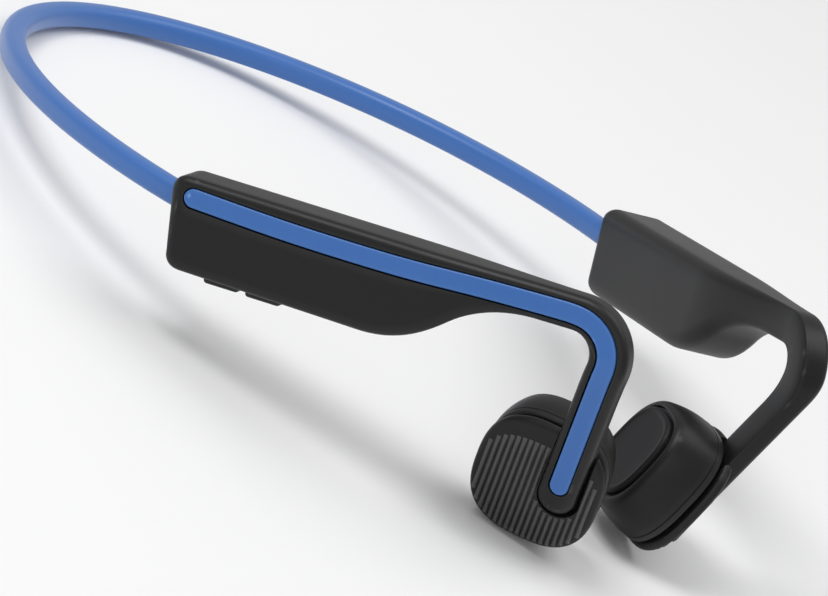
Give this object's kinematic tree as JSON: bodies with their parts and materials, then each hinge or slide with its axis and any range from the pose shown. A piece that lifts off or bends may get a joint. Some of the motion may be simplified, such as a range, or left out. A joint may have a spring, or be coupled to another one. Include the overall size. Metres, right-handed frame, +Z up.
{
  "type": "bone conduction headphones",
  "caption": "Open-ear bone conduction headphones: a flexible neckband joins two slim housings whose ear hooks bend down to flat ribbed transducers.",
  "frame": {"origin": "middle of the bounding box's bottom face, on the surface the object rests on", "axes": "+Y towards the back of the neckband (the wearer faces -Y), +X towards the wearer's left ear, +Z up from the surface it lies on"},
  "size_m": [0.1004, 0.1246, 0.0375],
  "materials": {
    "blue_silicone": "matte",
    "blue_strip": "satin",
    "soft_black": "soft-touch matte",
    "ribbed_black": "matte, ribbed",
    "pad_black": "matte",
    "titanium": "satin",
    "steel": "satin",
    "copper": "satin",
    "cable_grey": "matte",
    "board_green": "satin",
    "chip_black": "satin",
    "cell_silver": "satin",
    "lens_white": "gloss"
  },
  "bodies": {
    "neckband": {"neckband_sleeve_rear": "blue_silicone", "titanium_wire_rear": "titanium", "signal_cable_rear": "cable_grey"},
    "right_unit": {"neckband_sleeve_right": "blue_silicone", "titanium_wire_right": "titanium", "signal_cable_right": "cable_grey", "right_outer_shell": "soft_black", "right_inner_shell": "soft_black", "right_ear_hook": "soft_black", "right_accent_strip": "blue_strip", "right_hook_wire": "titanium", "right_transducer_lead": "cable_grey", "right_wire_ferrule": "steel", "right_microphone": "chip_black", "right_transducer_cup": "soft_black", "right_yoke": "steel", "right_magnet": "steel", "right_pole_plate": "steel", "right_voice_coil": "copper", "right_suspension_spring": "steel", "right_vibration_plate": "steel", "right_skin_pad": "pad_black", "right_transducer_cap": "ribbed_black", "button_switches": "steel", "usb_c_receptacle": "steel", "status_light_pipe": "lens_white", "main_circuit_board": "board_green", "audio_processor": "chip_black"},
    "left_unit": {"neckband_sleeve_left": "blue_silicone", "titanium_wire_left": "titanium", "signal_cable_left": "cable_grey", "left_outer_shell": "soft_black", "left_inner_shell": "soft_black", "left_ear_hook": "soft_black", "left_accent_strip": "blue_strip", "left_hook_wire": "titanium", "left_transducer_lead": "cable_grey", "left_wire_ferrule": "steel", "left_microphone": "chip_black", "left_transducer_cup": "soft_black", "left_yoke": "steel", "left_magnet": "steel", "left_pole_plate": "steel", "left_voice_coil": "copper", "left_suspension_spring": "steel", "left_vibration_plate": "steel", "left_skin_pad": "pad_black", "battery_cell": "cell_silver", "battery_protection_board": "board_green", "multifunction_switch": "steel"},
    "volume_up": {"volume_up_button": "soft_black"},
    "volume_down": {"volume_down_button": "soft_black"},
    "port_cover": {"charging_port_cover": "soft_black"},
    "multifunction": {"multifunction_button": "ribbed_black"}
  },
  "joints": [
    {"name": "right_band_flex", "type": "hinge", "parent": "neckband", "child": "right_unit", "pos_m": [-0.04481, 0.0105, 0.01195], "axis": [0, -0.2001, -0.9798], "range_deg": [0, 14], "stiffness_Nm_per_rad": 0.3},
    {"name": "left_band_flex", "type": "hinge", "parent": "neckband", "child": "left_unit", "pos_m": [0.04481, 0.0105, 0.01195], "axis": [0, 0.2001, 0.9798], "range_deg": [0, 14], "stiffness_Nm_per_rad": 0.3},
    {"name": "volume_up_press", "type": "slide", "parent": "right_unit", "child": "volume_up", "axis": [-0.0352, 0.3362, 0.9411], "range_m": [0, 0.0004], "stiffness_N_per_m": 2500},
    {"name": "volume_down_press", "type": "slide", "parent": "right_unit", "child": "volume_down", "axis": [-0.0352, 0.3362, 0.9411], "range_m": [0, 0.0004], "stiffness_N_per_m": 2500},
    {"name": "port_cover_hinge", "type": "hinge", "parent": "right_unit", "child": "port_cover", "pos_m": [-0.03312, -0.03318, 0.01673], "axis": [-0.903, -0.4142, 0.1142], "range_deg": [0, 110], "stiffness_Nm_per_rad": 0.002},
    {"name": "multifunction_press", "type": "slide", "parent": "left_unit", "child": "multifunction", "axis": [-0.8106, 0.5151, 0.2785], "range_m": [0, 0.0004], "stiffness_N_per_m": 2500}
  ]
}
